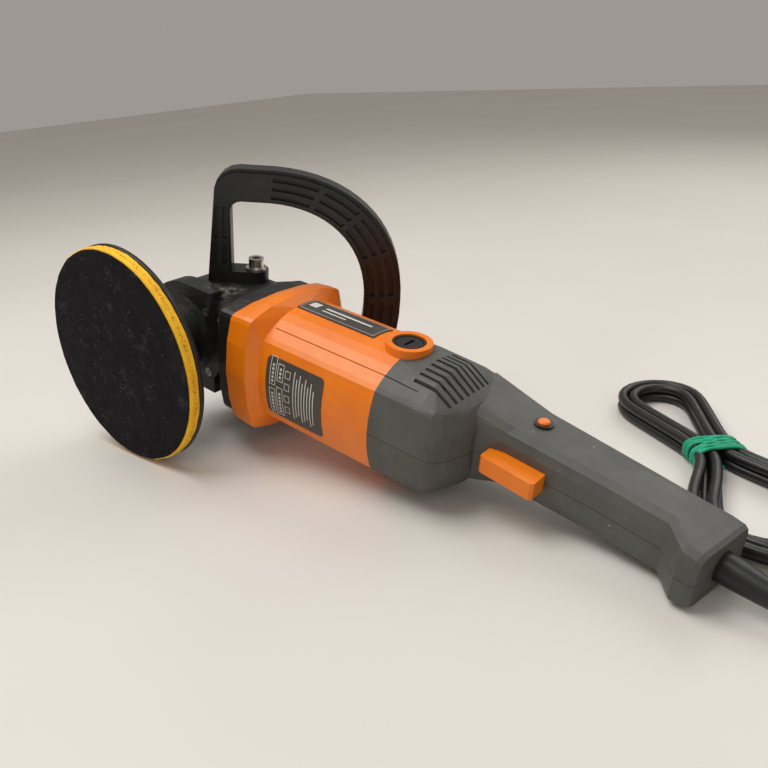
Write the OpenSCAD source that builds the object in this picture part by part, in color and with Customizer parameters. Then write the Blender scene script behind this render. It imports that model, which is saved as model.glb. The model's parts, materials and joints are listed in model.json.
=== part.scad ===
// Rotary car-body polisher with a 180 mm hook-and-loop pad and an offset loop handle.
// It lies on its side: pad rim, loop handle and grip flange touch z = 0.
// Tool frame: x runs along the motor to the grip, -y points out of the pad, z is the tool's left.

/* [Pad] */
// Radius of the pad
pad_r = 90; // [75:1:90]
// Thickness of the foam
foam_t = 9.4; // [6:0.2:14]
// Distance from the motor axis to the pad's working face
pad_reach = 104; // [104:1:112]

/* [Gears] */
// Teeth on the ring gear
ring_teeth = 36; // [36:4:40]
// Teeth on the pinion
pinion_teeth = 9; // [8:1:10]
// Width of the tooth faces
tooth_face = 10; // [8:0.5:11]

/* [Motor housing] */
// Half width of the motor housing
house_r = 50; // [50:0.5:52]
// Height of the crease between the side and the top face
crease_z = 32; // [30:0.5:34]
// Place along x where the grip shells start
split_x = 216; // [214:0.5:218]
// Wall thickness of the plastic housings
wall = 3; // [2.5:0.1:3.5]

/* [Loop handle] */
// Depth of the loop from its legs to its far side
loop_depth = 166; // [150:1:170]
// Height of the loop's centre above the tool's mid plane
loop_rise = 28; // [28:1:32]
// Half height of the loop
loop_half = 111; // [108:1:111]
// Thickness of the loop across its plane
loop_t = 21; // [18:1:24]
// Angle between the tool's x axis and the loop's plane
loop_turn = 40.5; // [36:0.5:46]

/* [Trigger and buttons] */
// Length of the trigger
trigger_l = 44; // [40:1:48]
// Travel of the trigger
trigger_travel = 6; // [4:0.5:6]
// Diameter of the lock-on button
lock_d = 8.8; // [8:0.2:9]

/* [Cord] */
// Diameter of the mains cord
cord_d = 8; // [7:0.5:9]

/* [Pose] */
// Angle by which the grip end hangs below the gear head
tilt = 9; // [8.5:0.1:9]

/* [Hidden] */
$fn = 64;
eps = 0.01;
fit = 0.05;                      // radial clearance of a running fit
origin_x = 205.58;               // middle of the tool's box along x
origin_y = 2.66;                 // middle of the tool's box along y

// pad stack, as distances from the motor axis towards the pad
face_z = pad_reach;
hook_t = 1;
foam_z = face_z - hook_t;
plate_z = foam_z - foam_t;
rim_t = 3.5;
hub_z = 74;                      // back of the backing plate's hub
insert_r = 10.5;                 // hexagon insert, across its corners
stub_r = 6.9;                    // M14 end of the spindle
hook_r = pad_r - 1.5;

// spindle and its bearings
spindle_r = 6;
brg_od = 16;                     // outer radius of the 12 x 32 x 10 bearings
brg_w = 10;
retainer_z = 27;                 // joint between gear case and retainer
neck_r = 28;
neck_end = 66;
lower_brg_z = 36;
upper_brg_r = 11;                // outer radius of the 8 x 22 x 7 bearings
upper_brg_z = -21;
upper_brg_w = 7;
upper_shaft_r = 4;

// bevel gears, both cones meet at the origin of the tool frame
ring_pr = 30;
pinion_pr = ring_pr*pinion_teeth/ring_teeth;
cone_a = sqrt(ring_pr*ring_pr + pinion_pr*pinion_pr);
pitch = 360*ring_pr/ring_teeth*PI/180;
addendum = 1.5;
dedendum = 2;
backlash = 0.34;
lock_holes = 8;                  // holes in the ring gear for the spindle lock
lock_hole_pr = 15;
pinion_bore = 2.8;

// gear case
case_r = 42;
flange_r = 46;
case_back = 36;                  // depth of the case behind the motor axis
motor_brg_x = 48;
case_flange_x = 60;
house_x = 76;

// loop handle
bolt = [27.5, 22];               // place of the handle bolts
bolt_s = 40.3;                   // from the loop's straight side to the bolts
leg_w = 20.5;
foot_t = 10;
foot_end_r = 10.5;
loop_top = loop_rise + loop_half;
loop_low = loop_rise - loop_half;
loop_c = 45;                     // start of the loop's round side
loop_n = 2.3;                    // exponent of the loop's rounding
band_top = 27;                   // width of the band at the top
band_far = 32;                   // width of the band at the far side
washer_r = 9;
washer_t = 1.6;
bolt_head_r = 6.5;
bolt_head_h = 8;
bolt_r = 4;
lower_seat = -61;                // seat of the lower bolt's head

// motor
shaft_r = 6;
rear_shaft_r = 4;
core_x = [112, 164];
core_r = 22;
stator_r = 42;
comm_x = [196, 222];
comm_r = 15;
rear_brg_x = 232;
rear_brg_w = 7;
fan_x = [82, 93];
fan_r = 41;
brush_x = 211;
boss_r = 17.5;
cap_r = 12.7;
boss_top = 54;

// grip, each section is [u, middle, half width, half height] in the grip's own frame,
// whose u axis leaves through the cord and whose origin is the cord's exit
grip_turn = -10.7;
exit_at = [455, -14, 0];
grip_secs = [[-150, 1.4, 25.7, 22.3, 9], [-72, 4.9, 22.6, 20.5, 9], [-30, 5.1, 21.7, 20, 9],
             [-12, -2.6, 29.4, 19.7, 8], [-3, -2.7, 29.2, 18.8, 8], [0, -2.7, 27.4, 17.4, 7]];
// bulb, each section is [x, middle, half width, crease y, crease z, top, corner radius]
bulb_secs = [[253, 0, 50, 43.5, 32, 48.5, 3], [264, 0, 50, 41, 32, 40, 4], [269, 0, 49, 34, 31.8, 36, 6],
             [273, 0, 46, 25, 31.4, 33.4, 7], [277, 0, 40, 17, 30, 31.2, 6], [283, 0, 20, 12, 22, 23, 4]];
neck_sec = [262, 14.5, 34.5, 30, 33, 36, 8];
// screws of the shells, each is [x, y, height of its post]
screw_spots = [[244, 34, 33], [244, -34, 33], [296, 28, 19.5], [352, 23, 18.5], [386, -9, 18], [437, 8, 17.8],
               [443, -34, 17.6]];
vent_y0 = -27;
vent_pitch = 6.4;
vent_count = 8;

// trigger and lock-on button
trigger_x = 294;
trigger_w = 12.6;
trigger_out = [-25, -30];        // front and rear of the trigger's face
trigger_in = -4;
lock_at = [317, 17];
lock_top = 25.6;
switch_box = [[290, 4, -13], [345, 22, 13]];

// cord, its route in the row's frame
relief_l = 52;
cord_r = cord_d/2;
cord_sides = 8;
route = [[285.5, -24.6, 12.2], [296.2, -26.7, 10.5], [310, -29.2, 8.4], [324, -31.4, 6.3], [340, -32, 4.4],
         [356, -27, 4], [368, -14, 4], [373, 4, 4], [368, 22, 4], [356, 35, 4], [342, 49, 4], [328, 63, 4],
         [316, 75, 4]];
hank_at = [190, 135, 0];
hank_turn = -44;
hank_ends = [[-94, 37], [90, 52]];   // place along the hank and outer radius of each end
hank_band = 20;
hank_h = 17;
tie_at = 0;
hank_waist = 17.5;                // half width where it is tied
plug_at = [352, 114, 0];
plug_turn = 20;

orange = [0.90, 0.48, 0.10];
dark_orange = [0.85, 0.36, 0.06];
casting = [0.07, 0.07, 0.07];
gray_shell = [0.33, 0.32, 0.29];
black = [0.05, 0.05, 0.05];
foam_yellow = [0.95, 0.70, 0.15];
steel = [0.72, 0.72, 0.70];
bright = [0.85, 0.84, 0.80];
copper = [0.70, 0.38, 0.18];
brass = [0.78, 0.62, 0.28];
carbon = [0.15, 0.15, 0.16];
green = [0.08, 0.55, 0.42];

// ---- placing -------------------------------------------------------------

// from the tool frame to the row's frame
module in_row() {
    translate([-origin_x, -origin_y, pad_r]) rotate([0, tilt, 0]) children();
}
// z runs out of the pad
module on_spindle() {
    rotate([90, 0, 0]) children();
}
// z runs along the motor axis to the grip
module on_motor() {
    rotate([0, 90, 0]) children();
}
// extrude an outline drawn in y and z from x0 over a length
module along_x(x0, length) {
    translate([x0, 0, 0]) rotate([90, 0, 90]) linear_extrude(length) children();
}
module at_ring(n, r, first = 0) {
    for (i = [0:n - 1]) rotate([0, 0, first + 360*i/n]) translate([r, 0, 0]) children();
}
module tube(r_out, r_in, h) {
    difference() {
        cylinder(r = r_out, h = h);
        translate([0, 0, -eps]) cylinder(r = r_in, h = h + 2*eps);
    }
}
module bearing(r_out, r_in, w) {
    mid = (r_out + r_in)/2;
    lip = (r_out - r_in)*0.14;
    rotate_extrude() polygon([
        [r_in, 0.3], [r_in + 0.3, 0], [mid - lip, 0], [mid - lip, 0.6], [mid + lip, 0.6], [mid + lip, 0],
        [r_out - 0.3, 0], [r_out, 0.3], [r_out, w - 0.3], [r_out - 0.3, w], [mid + lip, w],
        [mid + lip, w - 0.6], [mid - lip, w - 0.6], [mid - lip, w], [r_in + 0.3, w], [r_in, w - 0.3]]);
}
module coil_spring(r_out, r_in, h) {
    turns = 5;
    gap = h/(2*turns);
    for (i = [0:turns - 1]) translate([0, 0, i*2*gap]) tube(r_out, r_in, gap);
    for (a = [0, 180]) rotate([0, 0, a]) translate([(r_out + r_in)/2 - 0.25, -0.4, 0])
        cube([0.5, 0.8, h - gap]);
}

// ---- outlines --------------------------------------------------------------

function arc(cx, cy, r, a0, a1, n) = [for (i = [0:n]) let (a = a0 + (a1 - a0)*i/n)
    [cx + r*cos(a), cy + r*sin(a)]];

// motor housing section: bowed sides and tops that meet in four creases
side_in = 6.5;
side_rad = (crease_z*crease_z + side_in*side_in)/(2*side_in);
side_a = asin(crease_z/side_rad);
crease_y = house_r - side_in;
top_drop = (crease_y*crease_y + crease_z*crease_z - house_r*house_r)/(2*(house_r - crease_z));
top_rad = house_r + top_drop;
top_a = atan2(crease_z + top_drop, crease_y);
house_outline = concat(
    arc(house_r - side_rad, 0, side_rad, -side_a, side_a, 6),
    arc(0, -top_drop, top_rad, top_a + 4, 176 - top_a, 10),
    arc(side_rad - house_r, 0, side_rad, 180 - side_a, 180 + side_a, 6),
    arc(0, top_drop, top_rad, 184 + top_a, 356 - top_a, 10));

// a boxy section through side middle, crease and top middle
module section_2d(w, cy, cz, t, r = 4) {
    q = quarter(w, cy, cz, t, r);
    polygon(concat(
        q, [[0, t]], [for (i = [5:-1:1]) [-q[i][0], q[i][1]]],
        [for (p = q) [-p[0], -p[1]]], [[0, -t]], [for (i = [5:-1:1]) [q[i][0], -q[i][1]]]));
}
// a quarter of a section, from the side middle up to just before the top middle
function quarter(w, cy, cz, t, r) = let (
    a = [w - 0.3*(w - cy), 0.55*cz], c = [cy, cz], b = [0.55*cy, t - 0.27*(t - cz)],
    p = c + r*unit(a - c), q = c + r*unit(b - c)) [[w, 0], a, p, 0.25*p + 0.5*c + 0.25*q, q, b];
module house_2d(k = 1) {
    scale([k, k]) polygon(house_outline);
}
module soft_box_2d(w, h, r) {
    hull() for (i = [-1, 1], j = [-1, 1]) translate([i*(w - r), j*(h - r)]) circle(r, $fn = 32);
}
// an exact rounded box outline without hull
module round_rect(w, h, r) {
    square([2*w, 2*(h - r)], center = true);
    square([2*(w - r), 2*h], center = true);
    for (i = [-1, 1], j = [-1, 1]) translate([i*(w - r), j*(h - r)]) circle(r);
}

// ---- gear head ---------------------------------------------------------------

// the case's plan: round nose over the spindle, square towards the motor
module case_plan(r, x_end) {
    circle(r);
    translate([0, -r]) square([x_end, 2*r]);
}
module motor_bolt_spots() {
    for (y = [-38, 38], z = [-30, 30]) translate([0, y, z]) on_motor() children();
}
module gear_case() color(casting) in_row() difference() {
    union() {
        on_spindle() translate([0, 0, -case_back + 6]) linear_extrude(retainer_z + case_back - 6)
            case_plan(case_r, case_flange_x);
        on_spindle() translate([0, 0, -case_back]) cylinder(r1 = 34, r2 = case_r, h = 6);
        on_spindle() translate([0, 0, -case_back]) linear_extrude(7)
            translate([0, -34]) square([case_flange_x, 68]);
        on_spindle() translate([0, 0, retainer_z - 8]) linear_extrude(8) case_plan(flange_r, 34);
        hull() {
            along_x(36, 1) translate([1.5, 0]) soft_box_2d(31, 41, 8);
            along_x(case_flange_x, 1) section_2d(51.2, 46.2, 43.7, 49.7);
        }
        along_x(case_flange_x, house_x - case_flange_x) section_2d(51.5, 46.5, 44, 50);
    }
    // gear chamber, pinion chamber and bearing seats
    on_spindle() translate([0, 0, -9]) cylinder(r = 36, h = 9 + retainer_z + eps);
    on_spindle() translate([0, 0, upper_brg_z]) cylinder(r = upper_brg_r, h = upper_brg_w + 6);
    on_motor() cylinder(r = 13, h = motor_brg_x + eps);
    on_motor() translate([0, 0, motor_brg_x]) cylinder(r = brg_od, h = brg_w + eps);
    on_motor() translate([0, 0, motor_brg_x + brg_w]) cylinder(r = 30, h = 4 + eps);
    on_motor() translate([0, 0, motor_brg_x + brg_w + 4]) cylinder(r = 43, h = 20);
    // spindle lock bore and the recess of its cap
    on_spindle() translate([-lock_hole_pr, 0, -case_back - eps]) cylinder(r = 3 + fit, h = 30);
    on_spindle() translate([-lock_hole_pr, 0, -case_back - eps]) cylinder(r = 8.5, h = 8.6);
    // threaded holes for the loop handle
    for (s = [-1, 1]) translate([bolt[0], bolt[1], s*case_r]) scale([1, 1, s])
        translate([0, 0, -15]) cylinder(r = bolt_r, h = 15 + eps);
    // holes for the housing bolts and the retainer screws
    motor_bolt_spots() {
        translate([0, 0, 40]) cylinder(r = 4.3, h = case_flange_x + 5 - 40);
        translate([0, 0, case_flange_x]) cylinder(r = 2.2, h = 30);
    }
    // seat of the bearing retainer
    on_spindle() translate([0, 0, retainer_z]) linear_extrude(20) case_plan(flange_r + 0.1, 34.1);
    at_retainer_screws() translate([0, 0, retainer_z - 14]) cylinder(r = 2, h = 15);
}
module bearing_retainer() color(casting) in_row() on_spindle() difference() {
    union() {
        translate([0, 0, retainer_z]) linear_extrude(8) case_plan(flange_r, 34);
        translate([0, 0, retainer_z + 8]) cylinder(r1 = 34, r2 = neck_r, h = 4);
        translate([0, 0, retainer_z + 12]) cylinder(r = neck_r, h = neck_end - retainer_z - 12);
    }
    translate([0, 0, retainer_z - eps]) cylinder(r = 22, h = lower_brg_z - retainer_z + eps);
    translate([0, 0, lower_brg_z - eps]) cylinder(r = brg_od, h = brg_w + eps);
    translate([0, 0, lower_brg_z + brg_w - eps]) cylinder(r = 13, h = 40);
    translate([0, 0, neck_end - 6]) cylinder(r = 20, h = 7);
    at_ring(4, 39, 45) translate([0, 0, retainer_z - 1]) cylinder(r = 2, h = 10);
    at_ring(4, 39, 45) translate([0, 0, retainer_z + 5]) cylinder(r = 4.2, h = 10);
}
module at_retainer_screws() {
    on_spindle() at_ring(4, 39, 45) children();
}
module retainer_screws() color(steel) in_row() at_retainer_screws() {
    translate([0, 0, retainer_z - 13]) cylinder(r = 2, h = 18);
    difference() {
        translate([0, 0, retainer_z + 5]) cylinder(r = 3.9, h = 3.4);
        translate([-0.6, -3, retainer_z + 7]) cube([1.2, 6, 2]);
        translate([-3, -0.6, retainer_z + 7]) cube([6, 1.2, 2]);
    }
}
module spindle_seal() color(black) in_row() on_spindle()
    translate([0, 0, lower_brg_z + brg_w + 2]) tube(13, 10 + fit, 5);
module lower_spindle_bearing() color(steel) in_row() on_spindle()
    translate([0, 0, lower_brg_z]) bearing(brg_od, spindle_r + fit, brg_w);
module upper_spindle_bearing() color(steel) in_row() on_spindle()
    translate([0, 0, upper_brg_z]) bearing(upper_brg_r, upper_shaft_r + fit, upper_brg_w);

module spindle() color(steel) in_row() on_spindle() difference() {
    union() {
        translate([0, 0, upper_brg_z + 0.5]) cylinder(r = upper_shaft_r, h = 12);
        translate([0, 0, upper_brg_z + upper_brg_w + 1]) cylinder(r = spindle_r, h = 61);
        translate([0, 0, lower_brg_z + brg_w + 0.5]) cylinder(r = 10, h = hub_z - lower_brg_z - brg_w - 0.5);
        translate([0, 0, hub_z - eps]) cylinder(r = stub_r, h = 17);
    }
    // flats for the spanner
    for (s = [-1, 1]) translate([s*12.5 - 4, -12, neck_end + 1]) cube([8, 24, 6]);
}

// a bevel gear with its apex at the origin and its teeth facing +z
module bevel_gear(n, r_own, r_mate, bore_r, back, turn) {
    half = atan2(r_own, r_mate);
    root = half - atan2(dedendum, cone_a);
    near = cone_a - tooth_face;
    w = pitch/2 - backlash;
    tip_w = w - 2*addendum*tan(20);
    root_w = w + 2*dedendum*tan(20);
    rotate_extrude() polygon([
        [bore_r, -r_mate - back], [cone_a*sin(root), -r_mate - back], [cone_a*sin(root), -cone_a*cos(root)],
        [near*sin(root), -near*cos(root)], [bore_r, -near*cos(root)]]);
    at_ring(n, 0, turn) translate([r_own, 0, -r_mate]) rotate([0, -half, 0])
        linear_extrude(tooth_face, scale = near/cone_a) polygon([
            [-dedendum - 0.3, -root_w/2], [addendum, -tip_w/2], [addendum, tip_w/2],
            [-dedendum - 0.3, root_w/2]]);
}
module ring_gear() color(steel) in_row() rotate([-90, 0, 0]) difference() {
    bevel_gear(ring_teeth, ring_pr, pinion_pr, spindle_r, 12, 180/ring_teeth);
    at_ring(lock_holes, lock_hole_pr) translate([0, 0, -24]) cylinder(r = 3.6, h = 30);
    translate([0, 0, -8.5]) cylinder(r = 20.5, h = 5);
}
module pinion() color(steel) in_row() rotate([0, -90, 0])
    bevel_gear(pinion_teeth, pinion_pr, ring_pr, pinion_bore, 6, -90);
module gear_circlip() color(steel) in_row() on_spindle() difference() {
    translate([0, 0, pinion_pr + 12]) tube(9.5, spindle_r, 1.4);
    translate([-1.5, 4, pinion_pr + 11]) cube([3, 8, 4]);
}
module spindle_lock_button() color(black) in_row() on_spindle()
    translate([-lock_hole_pr, 0, 0]) {
        translate([0, 0, -case_back + 2]) cylinder(r = 3, h = case_back - 2 + 7);
        translate([0, 0, -case_back - 7]) cylinder(r1 = 7, r2 = 8, h = 2);
        translate([0, 0, -case_back - 5]) cylinder(r = 8, h = 7 + eps);
    }
module spindle_lock_spring() color(steel) in_row() on_spindle()
    translate([-lock_hole_pr, 0, -case_back + 2.1]) coil_spring(7.6, 5.6, 6.3);

// ---- pad -----------------------------------------------------------------------

module hub_insert() color(steel) in_row() on_spindle() translate([0, 0, hub_z]) difference() {
    cylinder(r = insert_r, h = 17, $fn = 6);
    translate([0, 0, -eps]) cylinder(r = stub_r, h = 20);
}
module backing_plate() color(black) in_row() on_spindle() difference() {
    rotate_extrude($fn = 96) polygon([
        [0, plate_z], [pad_r - 0.5, plate_z], [pad_r, plate_z - 0.6], [pad_r, plate_z - rim_t + 0.6],
        [pad_r - 0.6, plate_z - rim_t], [70, plate_z - rim_t - 0.5], [38, plate_z - 9], [27, plate_z - 12],
        [23, hub_z + 2], [21, hub_z], [0, hub_z]]);
    translate([0, 0, hub_z - eps]) cylinder(r = insert_r, h = 17 + eps, $fn = 6);
}
module foam_pad() color(foam_yellow) in_row() on_spindle() rotate_extrude($fn = 96) polygon([
    [0, plate_z], [pad_r - 0.6, plate_z], [pad_r, plate_z + 0.8], [pad_r, foam_z - 0.8],
    [pad_r - 0.8, foam_z], [0, foam_z]]);
module hook_face() color(black) in_row() on_spindle() translate([0, 0, foam_z])
    cylinder(r = hook_r, h = hook_t, $fn = 96);

// ---- loop handle -----------------------------------------------------------------

function rounding(a) = [pow(abs(cos(a)), 2/loop_n), pow(abs(sin(a)), 2/loop_n)*sign(sin(a))];
// a point of the round side: f = 0 on the outside of the band, 1 on its inside
function round_side(a, f) = [loop_c + (loop_depth - loop_c - f*band_far)*rounding(a)[0],
                             loop_rise + (loop_half - f*band_top)*rounding(a)[1]];
// how far a leg leans in at height h, a point of a leg, and a point of its corner,
// where side is 1 above and -1 below
function lean(h) = max(0, abs(h - loop_rise) - 14)*0.1034;
function leg(h, f) = [lean(h) + f*(leg_w - lean(h)), h];
function corner(a, f, side) = let (r = 20 - f*11, x = 28 + f*1.5, h = loop_half - f*band_top - r)
    [x - r*cos(a), loop_rise + side*(h + r*sin(a))];
function band_edge(f) = concat(
    [for (h = [42, 75, 105]) leg(h, f)],
    [for (a = [10:20:90]) corner(a, f, 1)],
    [for (a = [86:-5:-86]) round_side(a, f)],
    [for (a = [90:-20:10]) corner(a, f, -1)],
    [leg(-42, f)]);
module band(f0, f1) {
    out = band_edge(f0);
    in = band_edge(f1);
    n = len(in) - 1;
    polygon(concat(out, [for (i = [n:-1:0]) in[i]]));
}
module groove(points_out, points_in) {
    n = len(points_in) - 1;
    polygon(concat(points_out, [for (i = [n:-1:0]) points_in[i]]));
}
module grooves() {
    for (f = [0.2, 0.46, 0.72]) {
        for (span = [[86, 68], [65, 47], [44, 24], [21, 3], [0, -20], [-23, -44], [-47, -66], [-69, -86]])
            groove([for (i = [0:4]) round_side(span[0] + (span[1] - span[0])*i/4, f)],
                   [for (i = [0:4]) round_side(span[0] + (span[1] - span[0])*i/4, f + 0.13)]);
    }
    for (f = [0.16, 0.6], span = [[59, 78], [81, 108]])
        groove([for (h = span) leg(h, f)], [for (h = span) leg(h, f + 0.22)]);
}
module on_loop() {
    translate([bolt[0], bolt[1], 0]) rotate([0, 0, loop_turn]) translate([-bolt_s, 0, 0])
        rotate([90, 0, 0]) children();
}
module loop_handle() color(black) in_row() difference() {
    union() {
        on_loop() linear_extrude(loop_t - 6, center = true) band(0, 1);
        on_loop() linear_extrude(loop_t, center = true) band(0.11, 0.89);
        on_loop() translate([0, 0, -loop_t/2]) linear_extrude(loop_t)
            translate([2.2, case_r]) square([bolt_s - 2.2, foot_t]);
        on_loop() translate([0, 0, -loop_t/2]) linear_extrude(loop_t)
            translate([2.2, loop_low + band_top - 4]) square([bolt_s - 2.2, -case_r - loop_low - band_top + 4]);
        translate([bolt[0], bolt[1], case_r]) cylinder(r = foot_end_r, h = foot_t);
        translate([bolt[0], bolt[1], loop_low + 4]) cylinder(r = foot_end_r, h = -case_r - loop_low - 4);
    }
    on_loop() for (s = [-1, 1]) translate([0, 0, s*loop_t/2 - 3]) linear_extrude(6) grooves();
    translate([bolt[0], bolt[1], case_r - 1]) cylinder(r = bolt_r + 0.25, h = 20);
    translate([bolt[0], bolt[1], -80]) cylinder(r = bolt_r + 0.25, h = 60);
    translate([bolt[0], bolt[1], -100]) cylinder(r = washer_r + 0.3, h = 100 + lower_seat);
}
module socket_bolt(grip_l) {
    translate([0, 0, -grip_l]) cylinder(r = bolt_r - fit, h = grip_l + eps);
    difference() {
        cylinder(r = bolt_head_r, h = bolt_head_h);
        translate([0, 0, bolt_head_h - 4.5]) cylinder(r = 3.6, h = 5, $fn = 6);
    }
}
module handle_bolts() color(bright) in_row() {
    translate([bolt[0], bolt[1], case_r + foot_t + washer_t]) socket_bolt(foot_t + washer_t + 14);
    translate([bolt[0], bolt[1], lower_seat - washer_t]) rotate([180, 0, 0])
        socket_bolt(-case_r - lower_seat + washer_t + 14);
}
module handle_washers() color(bright) in_row() {
    translate([bolt[0], bolt[1], case_r + foot_t]) tube(washer_r, bolt_r, washer_t);
    translate([bolt[0], bolt[1], lower_seat - washer_t]) tube(washer_r, bolt_r, washer_t);
}

// ---- motor housing ----------------------------------------------------------------

module motor_housing() color(orange) in_row() difference() {
    union() {
        difference() {
            union() {
                along_x(house_x, split_x - house_x) house_2d();
                hull() {
                    along_x(house_x, 0.1) section_2d(57, 49.5, 46, 51);
                    along_x(house_x + 14, 8) section_2d(57.5, 50, 47, 56);
                    along_x(house_x + 29, 0.1) house_2d();
                }
                along_x(split_x - 4, 14) house_2d((house_r - wall - 0.3)/house_r);
                for (s = [-1, 1]) translate([brush_x, 0, s > 0 ? 40 : -boss_top])
                    cylinder(r = boss_r, h = boss_top - 40);
            }
            // hollow for the fan, the stator and the commutator
            along_x(house_x - 1, 30) house_2d(0.94);
            on_motor() translate([0, 0, house_x + 28]) cylinder(r = stator_r + 2, h = 103);
            on_motor() translate([0, 0, split_x - 10]) cylinder(r = stator_r, h = 24);
        }
        intersection() {
            motor_bolt_spots() translate([0, 0, house_x]) cylinder(r = 5, h = 30);
            along_x(house_x, 40) house_2d(0.96);
        }
        // ring that carries the stator
        on_motor() translate([0, 0, core_x[1] + 1]) tube(stator_r + 2.2, stator_r - 4, 3);
    }
    for (s = [-1, 1]) {
        translate([brush_x, 0, s > 0 ? 30 : -50]) cylinder(r = 9.5, h = 20);
        translate([brush_x, 0, s > 0 ? boss_top - 4.5 : -boss_top - 1]) cylinder(r = cap_r, h = 5.5);
    }
    motor_bolt_spots() translate([0, 0, house_x - 1]) cylinder(r = 2.05, h = 26);
    // parting grooves above and below
    for (z = [38, -43]) translate([108, -33.4, z]) cube([split_x - 107, 0.8, 5]);
}
module housing_bolts() color(steel) in_row() motor_bolt_spots() {
    translate([0, 0, case_flange_x + 4]) cylinder(r = 2, h = 36);
    difference() {
        translate([0, 0, case_flange_x + 1]) cylinder(r = 3.9, h = 4);
        translate([-0.6, -3, case_flange_x]) cube([1.2, 6, 2.6]);
        translate([-3, -0.6, case_flange_x]) cube([6, 1.2, 2.6]);
    }
}
module stator_core() color(steel) in_row() on_motor() translate([0, 0, core_x[0]]) difference() {
    cylinder(r = stator_r, h = core_x[1] - core_x[0]);
    translate([0, 0, -1]) cylinder(r = core_r + 0.6, h = 60);
    for (a = [0, 180]) rotate([0, 0, a]) translate([25, -19, -1]) cube([8, 38, 60]);
}
module field_coils() color(copper) in_row() on_motor() for (a = [0, 180]) rotate([0, 0, a]) {
    for (x = [100, core_x[1] + 0.2]) translate([25.4, -18.4, x]) cube([7.2, 36.8, core_x[0] - 100.2]);
    translate([25.4, -18.4, 100]) cube([7.2, 36.8, core_x[1] - 90]);
}
module fan_baffle() color(black) in_row() on_motor() translate([0, 0, 95]) tube(stator_r + 1.5, 30, 3);
module front_motor_bearing() color(steel) in_row() on_motor()
    translate([0, 0, motor_brg_x]) bearing(brg_od, shaft_r + fit, brg_w);
module rear_motor_bearing() color(steel) in_row() on_motor()
    translate([0, 0, rear_brg_x]) bearing(upper_brg_r, rear_shaft_r + fit, rear_brg_w);
module armature_shaft() color(steel) in_row() on_motor() {
    translate([0, 0, 21]) cylinder(r = pinion_bore, h = 18);
    translate([0, 0, 37.4]) cylinder(r = shaft_r, h = comm_x[1] + 4 - 37.4);
    translate([0, 0, comm_x[1] + 3])
        cylinder(r = rear_shaft_r, h = rear_brg_x + rear_brg_w - comm_x[1] - 2);
}
module armature_core() color(steel) in_row() on_motor() translate([0, 0, core_x[0] + 1]) difference() {
    cylinder(r = core_r, h = core_x[1] - core_x[0] - 2);
    translate([0, 0, -1]) cylinder(r = shaft_r, h = 60);
    at_ring(12, 19.5) translate([0, -0.9, -1]) cube([4, 1.8, 60]);
}
module armature_windings() color(copper) in_row() on_motor()
    for (x = [core_x[0] - 9, core_x[1] - 1]) translate([0, 0, x]) tube(19, shaft_r, 10);
module commutator() color(copper) in_row() on_motor() translate([0, 0, comm_x[0]]) difference() {
    cylinder(r = comm_r, h = comm_x[1] - comm_x[0]);
    translate([0, 0, -1]) cylinder(r = shaft_r, h = 40);
    at_ring(24, comm_r - 0.8, 7.5) translate([0, -0.2, 2]) cube([2, 0.4, 30]);
}
module cooling_fan() color(black) in_row() on_motor() translate([0, 0, fan_x[0]]) difference() {
    union() {
        cylinder(r = 14, h = fan_x[1] - fan_x[0]);
        cylinder(r = fan_r, h = 2);
        at_ring(12, 13) translate([0, -0.8, 1]) cube([fan_r - 14, 1.6, fan_x[1] - fan_x[0] - 1]);
    }
    translate([0, 0, -1]) cylinder(r = shaft_r, h = 40);
}
// both brushes and what guides them
module at_brushes() {
    for (s = [-1, 1]) translate([brush_x, 0, 0]) scale([1, 1, s]) children();
}
module brush_holders() color(brass) in_row() at_brushes() difference() {
    translate([-7, -5.5, 17]) cube([14, 11, 30]);
    translate([-4.5, -3.25, 16]) cube([9, 6.5, 32]);
}
module carbon_brushes() color(carbon) in_row() at_brushes()
    translate([-4.3, -3.05, comm_r + 0.2]) cube([8.6, 6.1, 15]);
module brush_springs() color(steel) in_row() at_brushes()
    translate([0, 0, comm_r + 15.4]) coil_spring(2.9, 2.1, 16.4);
module brush_caps() color(black) in_row() at_brushes() difference() {
    union() {
        translate([0, 0, 49.6]) cylinder(r = cap_r - 0.1, h = 3.3);
        translate([0, 0, 47.2]) cylinder(r = 9.3, h = 3);
    }
    translate([0, 0, 52]) tube(10.6, 9.8, 3);
    translate([-1.2, -5.5, 51.4]) cube([2.4, 11, 3]);
}
// a thin plate on the housing's skin
module on_skin(thick) {
    intersection() {
        along_x(90, 110) difference() {
            house_2d(1 + (thick + 0.05)/house_r);
            house_2d(1 + 0.05/house_r);
        }
        children();
    }
}
module brand_plate() color(black) in_row() on_skin(0.7)
    translate([144.9, 4, 40]) linear_extrude(20) round_rect(39.1, 12, 1);
module rating_label() color(black) in_row() on_skin(0.4)
    translate([143, -30, 0]) rotate([90, 0, 0]) linear_extrude(30) round_rect(29, 25, 4);

// ---- grip shells --------------------------------------------------------------------

// from the grip's own frame to the tool frame
module in_grip() {
    translate(exit_at) rotate([0, 0, grip_turn]) children();
}
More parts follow.
